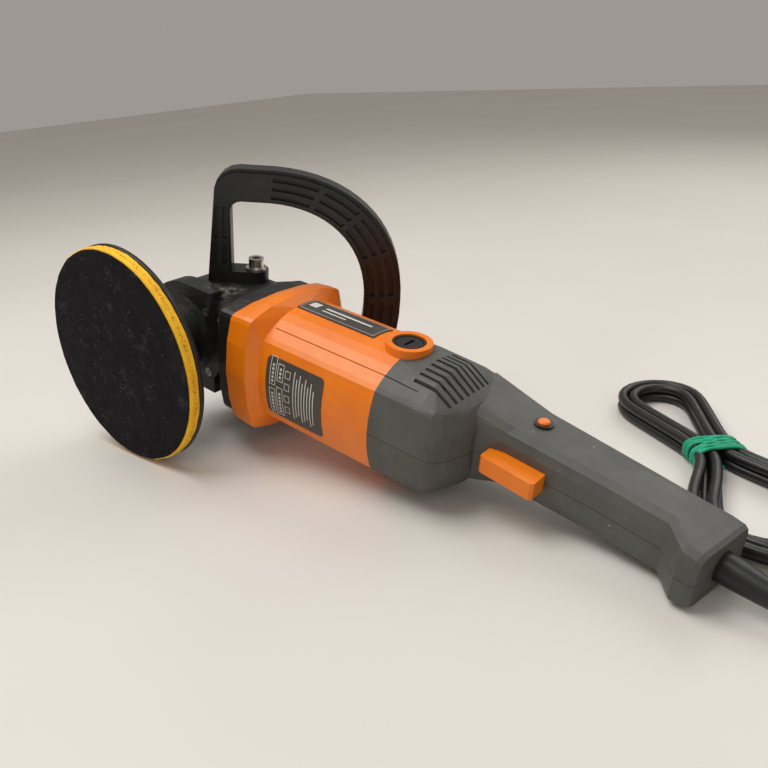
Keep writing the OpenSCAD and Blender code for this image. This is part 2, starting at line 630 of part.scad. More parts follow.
// thin slices at x (bulb) and at u (grip); they end at the given place, or start there
module bulb_slice(p) {
    along_x(p[0] - 0.01, 0.01) translate([p[1], 0]) section_2d(p[2], p[3], p[4], p[5], p[6]);
}
module grip_slice(p, starts = false) {
    in_grip() along_x(starts ? p[0] : p[0] - 0.01, 0.01) translate([p[1], 0])
        section_2d(p[2], p[2], p[3], p[3], p[4]);
}
module shells_outside() {
    hull() {
        along_x(split_x, 0.01) house_2d();
        for (p = bulb_secs) bulb_slice(p);
    }
    hull() {
        bulb_slice(neck_sec);
        grip_slice(grip_secs[0]);
    }
    for (i = [0, 1]) hull() {
        grip_slice(grip_secs[i], true);
        grip_slice(grip_secs[i + 1]);
    }
    hull() {
        grip_slice(grip_secs[2], true);
        for (i = [3:5]) grip_slice(grip_secs[i]);
    }
}
// the hollow: bulb inside its bevelled rear, then a flat chamber down the grip
module shells_hollow() {
    difference() {
        union() {
            along_x(split_x - 5, 228 - split_x + 5) house_2d((house_r - wall)/house_r);
            along_x(227, 31) section_2d(46.5, 39, 29.5, 45, 3);
        }
        for (s = [-1, 1]) translate([254, -60, 44*s]) rotate([0, s*38, 0]) translate([-5, 0, s > 0 ? 0 : -40])
            cube([60, 120, 40]);
    }
    translate([0, 0, -17]) linear_extrude(34) polygon([[250, -12], [296, -6.4], [340, -9.8], [383, -14.6],
        [424, -21], [436, -37], [443, -39.5], [447, -12], [450, 8], [436, 13], [383, 23.4], [318, 36], [250, 40]]);
}
// side is 1 for the upper shell and -1 for the lower one
module grip_shell(side) {
    difference() {
        union() {
            difference() {
                shells_outside();
                shells_hollow();
                translate([150, -120, side > 0 ? -100 : 0]) cube([400, 240, 100]);
            }
            // screw posts, cup of the rear bearing and a rib in front of the cord clamp
            for (p = screw_spots) translate([p[0], p[1], side > 0 ? 0 : -p[2]]) cylinder(r = 4.2, h = p[2]);
            half_cup(side);
            translate([398, -14, side > 0 ? 0 : -17.8]) cube([2, 30, 17.8]);
        }
        // room for the boss of the brush cap
        translate([brush_x, 0, side > 0 ? 30 : -60]) cylinder(r = boss_r + 0.3, h = 30);
        for (i = [0:vent_count - 1]) translate([0, vent_y0 + vent_pitch*i, 0]) {
            translate([237, -1.3, side > 0 ? 37 : -60]) cube([17.5, 2.6, 23]);
            translate([253, 0, 46*side]) rotate([0, side*37, 0]) translate([0, -1.3, -7]) cube([20, 2.6, 14]);
        }
        // rear bearing seat and shaft room
        on_motor() translate([0, 0, rear_brg_x]) cylinder(r = upper_brg_r, h = rear_brg_w);
        on_motor() translate([0, 0, rear_brg_x - 12]) cylinder(r = 9, h = 24);
        // trigger slot, cord opening and button hole
        translate([trigger_x - 0.4, -60, -trigger_w/2 - 0.4]) cube([trigger_l + 0.8, 57, trigger_w + 0.8]);
        in_grip() translate([-12, 0, 0]) on_motor() cylinder(r = 8.1, h = 30);
        in_grip() translate([-12, 0, 0]) on_motor() cylinder(r = 11.1, h = 8.05);
        in_grip() translate([-60, 0, 0]) on_motor() cylinder(r = cord_r + 1, h = 30);
        if (side > 0) translate([lock_at[0], lock_at[1], 10]) cylinder(r = lock_d/2 + 0.9, h = 30);
        for (p = screw_spots) translate([p[0], p[1], -60]) {
            cylinder(r = 1.9, h = 72);
            cylinder(r = 3.6, h = 60 - 9);
        }
        // parting groove that runs on from the housing
        translate([split_x - 1, -33.4, side > 0 ? 38.4 : -43]) cube([30, 0.8, 4.6]);
    }
}
module half_cup(side) {
    intersection() {
        on_motor() translate([0, 0, rear_brg_x - 3]) cylinder(r = 14, h = 12);
        translate([rear_brg_x - 5, -20, side > 0 ? 0 : -20]) cube([20, 40, 20]);
    }
    for (y = [-1, 1]) translate([rear_brg_x - 2, y*30 - 18, side > 0 ? 0 : -6]) cube([8, 36, 6]);
    translate([rear_brg_x - 2, -4, side > 0 ? 13 : -48.5]) cube([6, 8, 35.5]);
}
module upper_grip_shell() color(gray_shell) in_row() grip_shell(1);
module lower_grip_shell() color(gray_shell) in_row() grip_shell(-1);
module grip_screws() color(steel) in_row() for (p = screw_spots) translate([p[0], p[1], -12.9]) {
    cylinder(r = 1.85, h = 22);
    difference() {
        cylinder(r = 3.4, h = 2.4);
        translate([-0.6, -2.2, -1]) cube([1.2, 4.4, 2]);
    }
}
module trigger() color(orange) in_row() translate([0, 0, -trigger_w/2]) difference() {
    union() {
        linear_extrude(trigger_w) polygon([
            [trigger_x, -13], [trigger_x, trigger_out[0] + 1.5], [trigger_x + 1.5, trigger_out[0]],
            [trigger_x + trigger_l - 2, trigger_out[1]], [trigger_x + trigger_l, trigger_out[1] + 2],
            [trigger_x + trigger_l, -13]]);
        translate([trigger_x, -13 - eps, 0]) cube([trigger_l, 13 + trigger_in, trigger_w]);
        translate([trigger_x, trigger_in - 1.4, -2]) cube([trigger_l, 1.4, trigger_w + 4]);
    }
    translate([trigger_x + 16, -12, 3]) cube([12, 20, trigger_w - 6]);
}
module trigger_spring() color(steel) in_row() translate([trigger_x + 22, switch_box[0][1], 0])
    on_spindle() coil_spring(2.8, 2.1, 15.8);
module switch_body() color(black) in_row() difference() {
    translate(switch_box[0]) cube(switch_box[1] - switch_box[0]);
    translate([lock_at[0], lock_at[1], 6]) cylinder(r = 3.2, h = 10);
}
module lock_on_button() color(orange) in_row() translate([lock_at[0], lock_at[1], 0]) {
    translate([0, 0, 9.6]) cylinder(r = 2, h = 10);
    translate([0, 0, 17.4]) cylinder(r = lock_d/2, h = lock_top - 17.4 - 0.8);
    translate([0, 0, lock_top - 0.8]) cylinder(r1 = lock_d/2, r2 = lock_d/2 - 1, h = 0.8);
}
module lock_button_bezel() color(black) in_row() translate([lock_at[0], lock_at[1], 18]) {
    tube(lock_d/2 + 0.8, lock_d/2 + fit, 5);
    translate([0, 0, 4.5]) tube(lock_d/2 + 2.4, lock_d/2 + fit, 1);
}
module lock_button_spring() color(steel) in_row()
    translate([lock_at[0], lock_at[1], 13.1]) coil_spring(3.6, 2.4, 4.2);
module capacitor() color(foam_yellow) in_row() translate([354, -9, -9]) cube([22, 14, 18]);
module cord_clamp() color(black) in_row() in_grip() translate([-34, -12, -9]) difference() {
    cube([8, 24, 18]);
    translate([-1, 12, 9]) on_motor() cylinder(r = cord_r, h = 12);
    for (y = [3.5, 20.5]) translate([4, y, -1]) cylinder(r = 1.6, h = 30);
}
module clamp_screws() color(steel) in_row() in_grip() for (y = [-8.5, 8.5]) translate([-30, y, -12]) {
    cylinder(r = 1.55, h = 21);
    translate([0, 0, 21]) cylinder(r = 3, h = 2);
}

// ---- cord ---------------------------------------------------------------------------

module strain_relief() color(black) in_row() in_grip() on_motor() rotate_extrude() polygon([
    [cord_r + 0.2, -9], [11, -9], [11, -4], [8, -4], [8, 0.3], [10, 0.3], [10, 3], [9.6, 8], [9.2, 14],
    [8.6, 22], [8, 30], [7.2, 38], [6.4, 46], [6, 51], [5.4, relief_l], [cord_r + 0.2, relief_l]]);

function unit(v) = v/norm(v);
function heading(i) = unit(route[min(i + 1, len(route) - 1)] - route[max(i - 1, 0)]);
function ring_at(i) = let (t = heading(i), a = unit(cross([0, 0, 1], t)), b = cross(t, a))
    [for (k = [0:cord_sides - 1]) route[i] + cord_r*(cos(360*k/cord_sides)*a + sin(360*k/cord_sides)*b)];
module mains_cord() color(black) {
    n = len(route);
    polyhedron(
        points = [for (i = [0:n - 1]) each ring_at(i)],
        faces = concat(
            [[for (k = [cord_sides - 1:-1:0]) k]],
            [for (i = [0:n - 2], k = [0:cord_sides - 1]) let (m = (k + 1)%cord_sides, o = i*cord_sides)
                [o + k, o + m, o + cord_sides + m]],
            [for (i = [0:n - 2], k = [0:cord_sides - 1]) let (m = (k + 1)%cord_sides, o = i*cord_sides)
                [o + k, o + cord_sides + m, o + cord_sides + k]],
            [[for (k = [0:cord_sides - 1]) (n - 1)*cord_sides + k]]));
}
module hank_2d(less) {
    waist = max(hank_waist - less, 0.4);
    for (i = [0, 1]) hull() {
        translate([hank_ends[i][0], 0]) circle(hank_ends[i][1] - less, $fn = 40);
        translate([tie_at + (i == 0 ? -12 : 12), 0]) circle(waist, $fn = 40);
    }
    translate([tie_at - 12, -waist]) square([24, 2*waist]);
}
module on_hank() {
    translate(hank_at) rotate([0, 0, hank_turn]) children();
}
module cord_hank() color(black) on_hank() translate([0, 0, 1.6]) linear_extrude(hank_h - 1.6) difference() {
    hank_2d(0);
    hank_2d(hank_band);
}
tie_w = 19.7;                    // half width of the hank where it is tied, plus clearance
module hank_tie() color(green) on_hank() translate([tie_at - 12, 0, 9.5]) rotate([90, 0, 90])
    linear_extrude(24) difference() {
        round_rect(tie_w + 1.6, 9.3, 5);
        translate([0, -0.1]) round_rect(tie_w, 8, 1.5);
    }
module plug_body() color(black) translate(plug_at) rotate([0, 0, plug_turn]) translate([0, 0, 14]) {
    rotate([90, 0, 90]) linear_extrude(30) soft_box_2d(18, 13, 12.5);
    translate([-8, 0, 0]) on_motor() cylinder(r1 = 9, r2 = 12, h = 8.2);
    translate([-34, 0, 0]) on_motor() cylinder(r1 = 5.5, r2 = 8, h = 26.2);
}
module plug_pins() color(bright) translate(plug_at) rotate([0, 0, plug_turn])
    for (y = [-9.5, 9.5]) translate([30, y, 14]) on_motor() cylinder(r = 2.4, h = 19);

// ---- nodes --------------------------------------------------------------------------

gear_case();
bearing_retainer();
retainer_screws();
spindle_seal();
lower_spindle_bearing();
upper_spindle_bearing();
spindle();
ring_gear();
gear_circlip();
hub_insert();
backing_plate();
foam_pad();
hook_face();
spindle_lock_button();
spindle_lock_spring();
loop_handle();
handle_bolts();
handle_washers();
motor_housing();
housing_bolts();
stator_core();
field_coils();
fan_baffle();
front_motor_bearing();
rear_motor_bearing();
armature_shaft();
pinion();
armature_core();
armature_windings();
commutator();
cooling_fan();
brush_holders();
carbon_brushes();
brush_springs();
brush_caps();
brand_plate();
rating_label();
upper_grip_shell();
lower_grip_shell();
grip_screws();
trigger();
trigger_spring();
switch_body();
lock_on_button();
lock_button_bezel();
lock_button_spring();
capacitor();
cord_clamp();
clamp_screws();
strain_relief();
mains_cord();
cord_hank();
hank_tie();
plug_body();
plug_pins();
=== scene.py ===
"""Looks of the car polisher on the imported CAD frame: materials, cord, tied hank, foam, tie and printed plates."""

import json
import math

import bmesh
import bpy
from mathutils import Matrix, Vector, noise


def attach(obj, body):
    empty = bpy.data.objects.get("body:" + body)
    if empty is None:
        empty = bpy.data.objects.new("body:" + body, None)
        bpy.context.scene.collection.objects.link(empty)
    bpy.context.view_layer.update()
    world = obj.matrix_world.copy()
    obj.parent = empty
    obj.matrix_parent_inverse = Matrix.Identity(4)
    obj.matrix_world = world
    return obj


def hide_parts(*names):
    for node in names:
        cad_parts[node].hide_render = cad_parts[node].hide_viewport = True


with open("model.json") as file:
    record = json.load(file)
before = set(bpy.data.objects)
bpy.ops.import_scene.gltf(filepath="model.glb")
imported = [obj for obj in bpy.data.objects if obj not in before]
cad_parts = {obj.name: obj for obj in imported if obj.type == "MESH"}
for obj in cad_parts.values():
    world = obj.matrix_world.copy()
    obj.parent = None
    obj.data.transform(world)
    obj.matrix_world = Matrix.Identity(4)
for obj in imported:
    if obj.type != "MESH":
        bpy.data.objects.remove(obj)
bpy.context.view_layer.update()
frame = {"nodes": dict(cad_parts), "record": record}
NODES = frame["nodes"]
MM = 0.001
scene = bpy.context.scene

# ---- the tool's own frame: x along the motor, -y out of the pad, z up when it lies on its side ----

TILT = math.radians(9)
AXIS_HEIGHT = 90  # of the spindle over the table, in mm
ORIGIN = Vector((205.58, 2.66, 0))


def row(x, y, z):
    """A point of the tool frame in mm, as a point of the row frame in metres."""
    c, s = math.cos(TILT), math.sin(TILT)
    return (Vector((c * x + s * z, y, AXIS_HEIGHT - s * x + c * z)) - ORIGIN) * MM


# ---- camera ----


def look_from(position, azimuth, elevation, roll, lens):
    """A camera whose back points along azimuth and elevation, turned by roll about its view."""
    a, e, r = (math.radians(v) for v in (azimuth, elevation, roll))
    back = Vector((math.sin(a) * math.cos(e), -math.cos(a) * math.cos(e), math.sin(e)))
    right = Vector((math.cos(a), math.sin(a), 0))
    up = back.cross(right)
    x = math.cos(r) * right + math.sin(r) * up
    y = -math.sin(r) * right + math.cos(r) * up
    cam = bpy.data.objects.new("camera", bpy.data.cameras.new("camera"))
    cam.data.lens, cam.data.sensor_width = lens, 36
    cam.data.clip_start, cam.data.clip_end = 0.01, 20
    cam.matrix_world = Matrix((x, y, back)).transposed().to_4x4()
    cam.location = Vector(position) * MM
    scene.collection.objects.link(cam)
    scene.camera = cam


look_from((348.5, -426.9, 309.3), 40.64, 23.10, -3.90, 37.5)

# ---- materials ----


class Nodes:
    """A short way to build one material's node tree."""

    def __init__(self, name):
        self.mat = bpy.data.materials.new(name)
        self.mat.use_nodes = True
        self.tree = self.mat.node_tree
        self.bsdf = next(n for n in self.tree.nodes if n.type == "BSDF_PRINCIPLED")
        self.where = self.add("ShaderNodeTexCoord").outputs["Object"]

    def add(self, kind, **values):
        n = self.tree.nodes.new(kind)
        for key, value in values.items():
            if key in n.inputs:
                n.inputs[key].default_value = value
            else:
                setattr(n, key, value)
        return n

    def link(self, out, into):
        self.tree.links.new(out, into)

    def noise(self, size, detail=4.0, rough=0.6):
        """Noise whose grains are about size metres wide."""
        n = self.add("ShaderNodeTexNoise", Scale=1 / size, Detail=detail, Roughness=rough)
        self.link(self.where, n.inputs["Vector"])
        return n.outputs["Fac"]

    def fade(self, distance, near, far):
        """1 up to the near distance, 0 from the far one."""
        r = self.add("ShaderNodeMapRange")
        for name, value in (("From Min", near), ("From Max", far), ("To Min", 1.0), ("To Max", 0.0)):
            r.inputs[name].default_value = value
        self.link(distance, r.inputs["Value"])
        return r.outputs["Result"]

    def ramp(self, source, low, high, a=(0, 0, 0, 1), b=(1, 1, 1, 1)):
        """Colour a up to the low value, b from the high one."""
        r = self.add("ShaderNodeValToRGB")
        r.color_ramp.elements[0].position, r.color_ramp.elements[1].position = low, high
        r.color_ramp.elements[0].color, r.color_ramp.elements[1].color = a, b
        self.link(source, r.inputs["Fac"])
        return r.outputs["Color"]

    def mix(self, factor, a, b):
        """Colour a where the factor is 0, b where it is 1; both are colours or sockets."""
        m = self.add("ShaderNodeMix", data_type="RGBA")
        self.link(factor, m.inputs[0])
        for value, socket in ((a, m.inputs[6]), (b, m.inputs[7])):
            if isinstance(value, tuple):
                socket.default_value = value
            else:
                self.link(value, socket)
        return m.outputs[2]

    def bump(self, height, strength, distance, under=None):
        """A bumped normal, laid on the normal under it."""
        b = self.add("ShaderNodeBump", Strength=strength, Distance=distance)
        self.link(height, b.inputs["Height"])
        if under is not None:
            self.link(under, b.inputs["Normal"])
        return b.outputs["Normal"]


def even(value):
    """A grey of one value."""
    return (value, value, value, 1)


def rgb(r, g, b):
    """An sRGB colour, 0 to 255, as linear RGBA."""
    lin = [(c / 255 / 12.92) if c <= 10 else ((c / 255 + 0.055) / 1.055) ** 2.4 for c in (r, g, b)]
    return (*lin, 1.0)


def plastic(name, colour, dark, roughness, grain, strength, dust=0.25, metal=0.0, coat=0.0):
    """Moulded or cast surface: fine grain, slow colour drift, rubbed edges and a little dust."""
    m = Nodes(name)
    drift = m.mix(m.ramp(m.noise(0.035, 3), 0.35, 0.7), colour, dark)
    rubbed = tuple(min(1, 1.5 * c + 0.03) for c in colour[:3]) + (1,)
    worn = m.mix(m.ramp(m.noise(0.0035, 6, 0.75), 0.66, 0.74), drift, rubbed)
    dusty = m.mix(m.ramp(m.noise(0.012, 8, 0.8), 0.55, 0.9, b=even(dust)), worn, rgb(178, 172, 160))
    m.link(dusty, m.bsdf.inputs["Base Color"])
    rough = m.ramp(m.noise(0.02, 5), 0.2, 0.8, even(roughness - 0.06), even(roughness + 0.1))
    m.link(rough, m.bsdf.inputs["Roughness"])
    m.bsdf.inputs["Metallic"].default_value = metal
    m.bsdf.inputs["Coat Weight"].default_value = coat
    coarse = m.bump(m.noise(grain * 6, 3), strength * 0.4, grain)
    m.link(m.bump(m.noise(grain, 2), strength, grain * 0.4, coarse), m.bsdf.inputs["Normal"])
    return m


def metal(name, colour, roughness):
    """Bare metal with darker tarnish and a fine brushed grain."""
    m = Nodes(name)
    tarnish = tuple(c * 0.55 for c in colour[:3]) + (1,)
    m.link(m.mix(m.ramp(m.noise(0.004, 6), 0.4, 0.75), colour, tarnish), m.bsdf.inputs["Base Color"])
    uneven = m.ramp(m.noise(0.002, 4), 0.3, 0.8, even(roughness), even(roughness + 0.22))
    m.link(uneven, m.bsdf.inputs["Roughness"])
    m.bsdf.inputs["Metallic"].default_value = 1.0
    m.link(m.bump(m.noise(0.0008, 3), 0.15, 0.0001), m.bsdf.inputs["Normal"])
    return m


def bare_patch(m):
    """Paint worn to bare, greasy metal where the handle's foot rubs on the gear case."""
    spot = m.add("ShaderNodeVectorMath", operation="DISTANCE")
    m.link(m.where, spot.inputs[0])
    spot.inputs[1].default_value = row(32, -16, 41)
    near = m.fade(spot.outputs["Value"], 0.008, 0.022)
    both = m.add("ShaderNodeMath", operation="MULTIPLY")
    m.link(near, both.inputs[0])
    m.link(m.ramp(m.noise(0.008, 7, 0.7), 0.46, 0.60), both.inputs[1])
    painted = m.bsdf.inputs["Base Color"].links[0].from_socket
    m.link(m.mix(both.outputs[0], painted, rgb(112, 110, 98)), m.bsdf.inputs["Base Color"])


def shell_marks(m):
    """The seam between the two shells, and a few pale paint flecks."""
    across = m.add("ShaderNodeVectorMath", operation="DOT_PRODUCT")
    m.link(m.where, across.inputs[0])
    normal = Vector((math.sin(TILT), 0, math.cos(TILT)))
    across.inputs[1].default_value = normal
    off = m.add("ShaderNodeMath", operation="SUBTRACT")
    m.link(across.outputs["Value"], off.inputs[0])
    off.inputs[1].default_value = normal.dot(row(0, 0, 0))
    away = m.add("ShaderNodeMath", operation="ABSOLUTE")
    m.link(off.outputs[0], away.inputs[0])
    seam = m.fade(away.outputs[0], 0.00018, 0.00030)
    base = m.bsdf.inputs["Base Color"].links[0].from_socket
    dark = m.mix(seam, base, rgb(18, 18, 17))
    flecks = m.mix(m.ramp(m.noise(0.0026, 2, 0.4), 0.79, 0.80), dark, rgb(200, 200, 192))
    m.link(flecks, m.bsdf.inputs["Base Color"])


FOAM_LINE = 0.1012  # distance of the pitted line from the motor's axis, in metres


def foam():
    """Closed yellow foam: faint grain, a line of dented pits round its rim near the cloth, darkened with painted
    shade, and rubbed nicks.
    """
    m = Nodes("foam")
    pores = m.add("ShaderNodeTexVoronoi", Scale=700.0)
    m.link(m.where, pores.inputs["Vector"])
    base = m.mix(m.ramp(m.noise(0.012, 4), 0.35, 0.7), rgb(252, 196, 34), rgb(240, 172, 24))
    split = m.add("ShaderNodeSeparateXYZ")
    m.link(m.where, split.inputs["Vector"])
    off = m.add("ShaderNodeMath", operation="ADD")
    m.link(split.outputs["Y"], off.inputs[0])
    off.inputs[1].default_value = FOAM_LINE
    away = m.add("ShaderNodeMath", operation="ABSOLUTE")
    m.link(off.outputs[0], away.inputs[0])
    seam = m.fade(away.outputs[0], 0.0006, 0.0022)
    pits = m.ramp(m.noise(0.0014, 4, 0.7), 0.50, 0.60)
    both = m.add("ShaderNodeMath", operation="MULTIPLY")
    m.link(seam, both.inputs[0])
    m.link(pits, both.inputs[1])
    # painted shade in the pits: they darken to rgb(150, 96, 20), as shade in their dents; the bump below dents them
    shaded_pits = m.mix(both.outputs[0], base, rgb(150, 96, 20))
    nicks = m.mix(m.ramp(m.noise(0.0026, 8, 0.8), 0.70, 0.74), shaded_pits, rgb(120, 84, 30))
    m.link(nicks, m.bsdf.inputs["Base Color"])
    m.bsdf.inputs["Roughness"].default_value = 0.8
    m.bsdf.inputs["Subsurface Weight"].default_value = 0.04
    deep = m.bump(both.outputs[0], -0.6, 0.0006)
    m.link(m.bump(pores.outputs["Distance"], 0.3, 0.0004, deep), m.bsdf.inputs["Normal"])
    return m


def hook_cloth():
    """Black hook fabric: fine woven bumps, lint and pale scuffs."""
    m = Nodes("hook_cloth")
    cells = m.add("ShaderNodeTexVoronoi", Scale=900.0)
    m.link(m.where, cells.inputs["Vector"])
    weave = m.add("ShaderNodeTexWave", Scale=420.0, Distortion=3.0, Detail=2.0)
    m.link(m.where, weave.inputs["Vector"])
    patches = m.mix(m.ramp(m.noise(0.03, 6, 0.7), 0.4, 0.7), rgb(13, 12, 14), rgb(27, 26, 29))
    woven = m.mix(m.ramp(weave.outputs["Fac"], 0.3, 0.9, b=even(0.25)), patches, rgb(58, 56, 60))
    lint = m.mix(m.ramp(m.noise(0.0016, 3, 0.5), 0.71, 0.75, b=even(0.8)), woven, rgb(150, 148, 148))
    fluff = m.mix(m.ramp(m.noise(0.007, 8, 0.8), 0.62, 0.74, b=even(0.5)), lint, rgb(110, 108, 110))
    chalk = m.mix(m.ramp(m.noise(0.026, 9, 0.85), 0.54, 0.74, b=even(0.5)), fluff, rgb(104, 102, 106))
    m.link(chalk, m.bsdf.inputs["Base Color"])
    m.bsdf.inputs["Roughness"].default_value = 0.95
    m.bsdf.inputs["Specular IOR Level"].default_value = 0.15
    waves = m.bump(m.noise(0.012, 4), 0.25, 0.002)
    m.link(m.bump(cells.outputs["Distance"], 0.45, 0.0005, waves), m.bsdf.inputs["Normal"])
    return m


ORANGE = plastic(
    "orange_plastic", rgb(240, 126, 6), rgb(230, 114, 2), 0.38, 0.0005, 0.10, dust=0.04, coat=0.05
)
GRAY = plastic("gray_shell", rgb(84, 84, 79), rgb(72, 71, 67), 0.52, 0.0007, 0.22, dust=0.16)
shell_marks(GRAY)
BLACK = plastic("black_plastic", rgb(22, 22, 22), rgb(15, 15, 15), 0.36, 0.0007, 0.18, dust=0.10)
CAST = plastic("black_casting", rgb(30, 30, 29), rgb(17, 17, 17), 0.42, 0.0018, 0.75, dust=0.10, metal=0.1)
bare_patch(CAST)
CORD = plastic("cord_rubber", rgb(26, 26, 27), rgb(18, 18, 19), 0.38, 0.0010, 0.15, dust=0.06)
FILM = plastic("label_film", rgb(72, 68, 62), rgb(58, 54, 50), 0.45, 0.0006, 0.10, dust=0.12)
PRINT = plastic("label_print", rgb(216, 212, 204), rgb(188, 184, 176), 0.5, 0.0006, 0.08, dust=0.1)
TIE = plastic("tie_rubber", rgb(10, 168, 126), rgb(6, 132, 98), 0.55, 0.0010, 0.25, dust=0.08)
STEEL = metal("machined_steel", rgb(176, 174, 170), 0.28)
STAINLESS = metal("stainless", rgb(214, 210, 202), 0.2)
COPPER = metal("copper", rgb(196, 116, 66), 0.32)
BRASS = metal("brass", rgb(196, 164, 92), 0.3)
CARBON = plastic("carbon", rgb(34, 34, 36), rgb(26, 26, 28), 0.6, 0.0005, 0.2)
CASE = plastic("film_case", rgb(206, 170, 60), rgb(186, 150, 50), 0.45, 0.0006, 0.1)
SLOTS = {
    "cast_black": CAST, "black_plastic": BLACK, "hook_black": hook_cloth(), "foam_yellow": foam(),
    "orange_plastic": ORANGE, "gray_shell": GRAY, "label_gray": FILM, "steel": STEEL, "stainless": STAINLESS,
    "bearing_steel": STAINLESS, "copper": COPPER, "brass": BRASS, "carbon": CARBON, "film_case": CASE,
    "cord_black": CORD, "tie_green": TIE,
}


def finish_cad_nodes():
    """Every CAD node gets its slot's material and smooth shading between its true edges."""
    for part in frame["record"]["subparts"]:
        obj = NODES[part["node"]]
        obj.data.materials.clear()
        obj.data.materials.append(SLOTS[part["material_slot"]].mat)
        obj.data.polygons.foreach_set("use_smooth", [True] * len(obj.data.polygons))
        obj.data.set_sharp_from_angle(angle=math.radians(SOFT_EDGES.get(part["node"], 28)))
        if part["node"] in ROUNDED:
            b = obj.modifiers.new("edges", "BEVEL")
            b.width, b.segments, b.limit_method = ROUNDED[part["node"]] * MM, 2, "ANGLE"
            b.angle_limit, b.harden_normals = math.radians(35), True


# angle in degrees up to which a moulding's facets shade as one surface
SOFT_EDGES = {
    "upper_grip_shell": 34, "lower_grip_shell": 34, "motor_housing": 34,
    "loop_handle": 40, "strain_relief": 40,
}
# radius of the rounded edges that mouldings and machined parts have, in mm
ROUNDED = {"trigger": 1.2, "lock_on_button": 0.5, "handle_washers": 0.2, "plug_body": 0.8, "brush_caps": 0.3}

finish_cad_nodes()


def piece(name, mesh, look, body, smooth=True):
    """A new object with a material, that rides on a body."""
    obj = bpy.data.objects.new(name, mesh)
    scene.collection.objects.link(obj)
    obj.data.materials.append(look.mat)
    if smooth and isinstance(mesh, bpy.types.Mesh):
        mesh.polygons.foreach_set("use_smooth", [True] * len(mesh.polygons))
    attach(obj, body)
    return obj


# ---- cord and hank ----

CORD_D = 8.0
ROUTE = [
    (285.5, -24.6, 12.2), (296.2, -26.7, 10.5), (310, -29.2, 8.4), (324, -31.4, 6.3), (340, -32, 4.4),
    (356, -27, 4), (368, -14, 4), (373, 4, 4), (368, 22, 4), (356, 35, 4), (342, 49, 4), (328, 62, 4),
    (318.5, 71, 4.1),
]
HANK_AT = Vector((190, 135, 0))
HANK_TURN = math.radians(-44)
LEFT, RIGHT = (-94, 37), (90, 52)  # each end's centre along the hank, and its outer radius
TIE_X, WAIST = 0, 17.5  # the tie's place along the hank, and half the hank's width there
WAIST_HALF = 12  # half the length of the straight stretch under the tie
PLUG_AT, PLUG_TURN = Vector((352, 114, 14)), math.radians(20)
PLUG_TAIL = 30  # from the plug's middle back to where the cord enters it


def on_hank(x, y, z):
    """A point of the hank's own frame, x along it and y across, in the row frame in mm."""
    c, s = math.cos(HANK_TURN), math.sin(HANK_TURN)
    return HANK_AT + Vector((x * c - y * s, x * s + y * c, z))


def side_points(end, inset):
    """One end's arc, from where it meets the upper straight to where it meets the lower one."""
    cx, r = end[0], end[1] - inset
    to_waist = TIE_X + math.copysign(WAIST_HALF, cx) - cx
    far = math.hypot(to_waist, WAIST - inset)
    tangent = math.atan2(WAIST - inset, to_waist) + math.copysign(math.acos(min(r / far, 1)), to_waist)
    first = abs(math.degrees(tangent))
    if cx < 0:
        angles = [first + (360 - 2 * first) * k / 24 for k in range(25)]
    else:
        angles = [-first + 2 * first * k / 24 for k in range(25)]
    return [(cx + r * math.cos(math.radians(a)), r * math.sin(math.radians(a))) for a in angles]


def one_turn(inset):
    """Closed line of one turn at an inset: waist, left end, waist, right end, back to the upper waist."""
    w = WAIST - inset
    left, right = side_points(LEFT, inset), side_points(RIGHT, inset)
    near, far = TIE_X - WAIST_HALF, TIE_X + WAIST_HALF
    line = [right[-1], (far, w), (near, w), *left, (near, -w), (far, -w), *right]
    return [Vector((*p, 0)) for p in line]


TURN_LINES = {}


def teardrop(s, inset):
    """A point at share s of one turn."""
    key = round(inset, 2)
    if key not in TURN_LINES:
        line = one_turn(inset)
        marks = [0.0]
        for a, b in zip(line, line[1:]):
            marks.append(marks[-1] + (b - a).length)
        TURN_LINES[key] = line, marks
    line, marks = TURN_LINES[key]
    d = s * marks[-1]
    k = max(i for i in range(len(marks) - 1) if marks[i] <= d)
    p = line[k].lerp(line[k + 1], (d - marks[k]) / max(marks[k + 1] - marks[k], 1e-9))
    return p.x, p.y


# (turns wound when the cord starts to move over, turns when it has moved, its inset and height from then on)
MOVES = [
    (-0.04, 0.08, 4.2, 4.2), (0.85, 0.96, 12.6, 4.2), (1.75, 1.87, 12.6, 12.4), (2.66, 2.77, 4.2, 12.4),
    (3.56, 3.67, -4.4, 12.4),
]
FIRST_INSET, FIRST_Z = -4.4, 4.2
STARTS, TURNS = -0.085, 3.837


def hank_points():
    """The tied turns, strand beside strand on the table and then a second layer on top."""
    points = []
    n = int(TURNS * 60)
    for i in range(n + 1):
        t = STARTS + (TURNS - STARTS) * i / n
        inset, z = FIRST_INSET, FIRST_Z
        for begin, end, to_inset, to_z in MOVES:
            f = min(max((t - begin) / (end - begin), 0), 1)
            f = f * f * (3 - 2 * f)
            inset, z = inset + (to_inset - inset) * f, z + (to_z - z) * f
        x, y = teardrop(t % 1, inset)
        points.append(on_hank(x, y, z))
    return points


def resampled(points, step):
    """Points every step mm along the line through points."""
    out, left = [points[0]], step
    for a, b in zip(points, points[1:]):
        d = (b - a).length
        while left <= d:
            out.append(a.lerp(b, left / d))
            left += step
        left -= d
    if (out[-1] - points[-1]).length < step * 0.6:
        out.pop()
    return out + [points[-1]]


def smooth_line(points, rounds):
    """The points averaged with their neighbours; the two at each end stay."""
    for _ in range(rounds):
        points = [points[0], points[1]] + [
            (points[i - 1] + 2 * points[i] + points[i + 1]) / 4 for i in range(2, len(points) - 2)
        ] + [points[-2], points[-1]]
    return points


HUMP = 7.6  # how high the last stretch rises over the hank's end, in mm


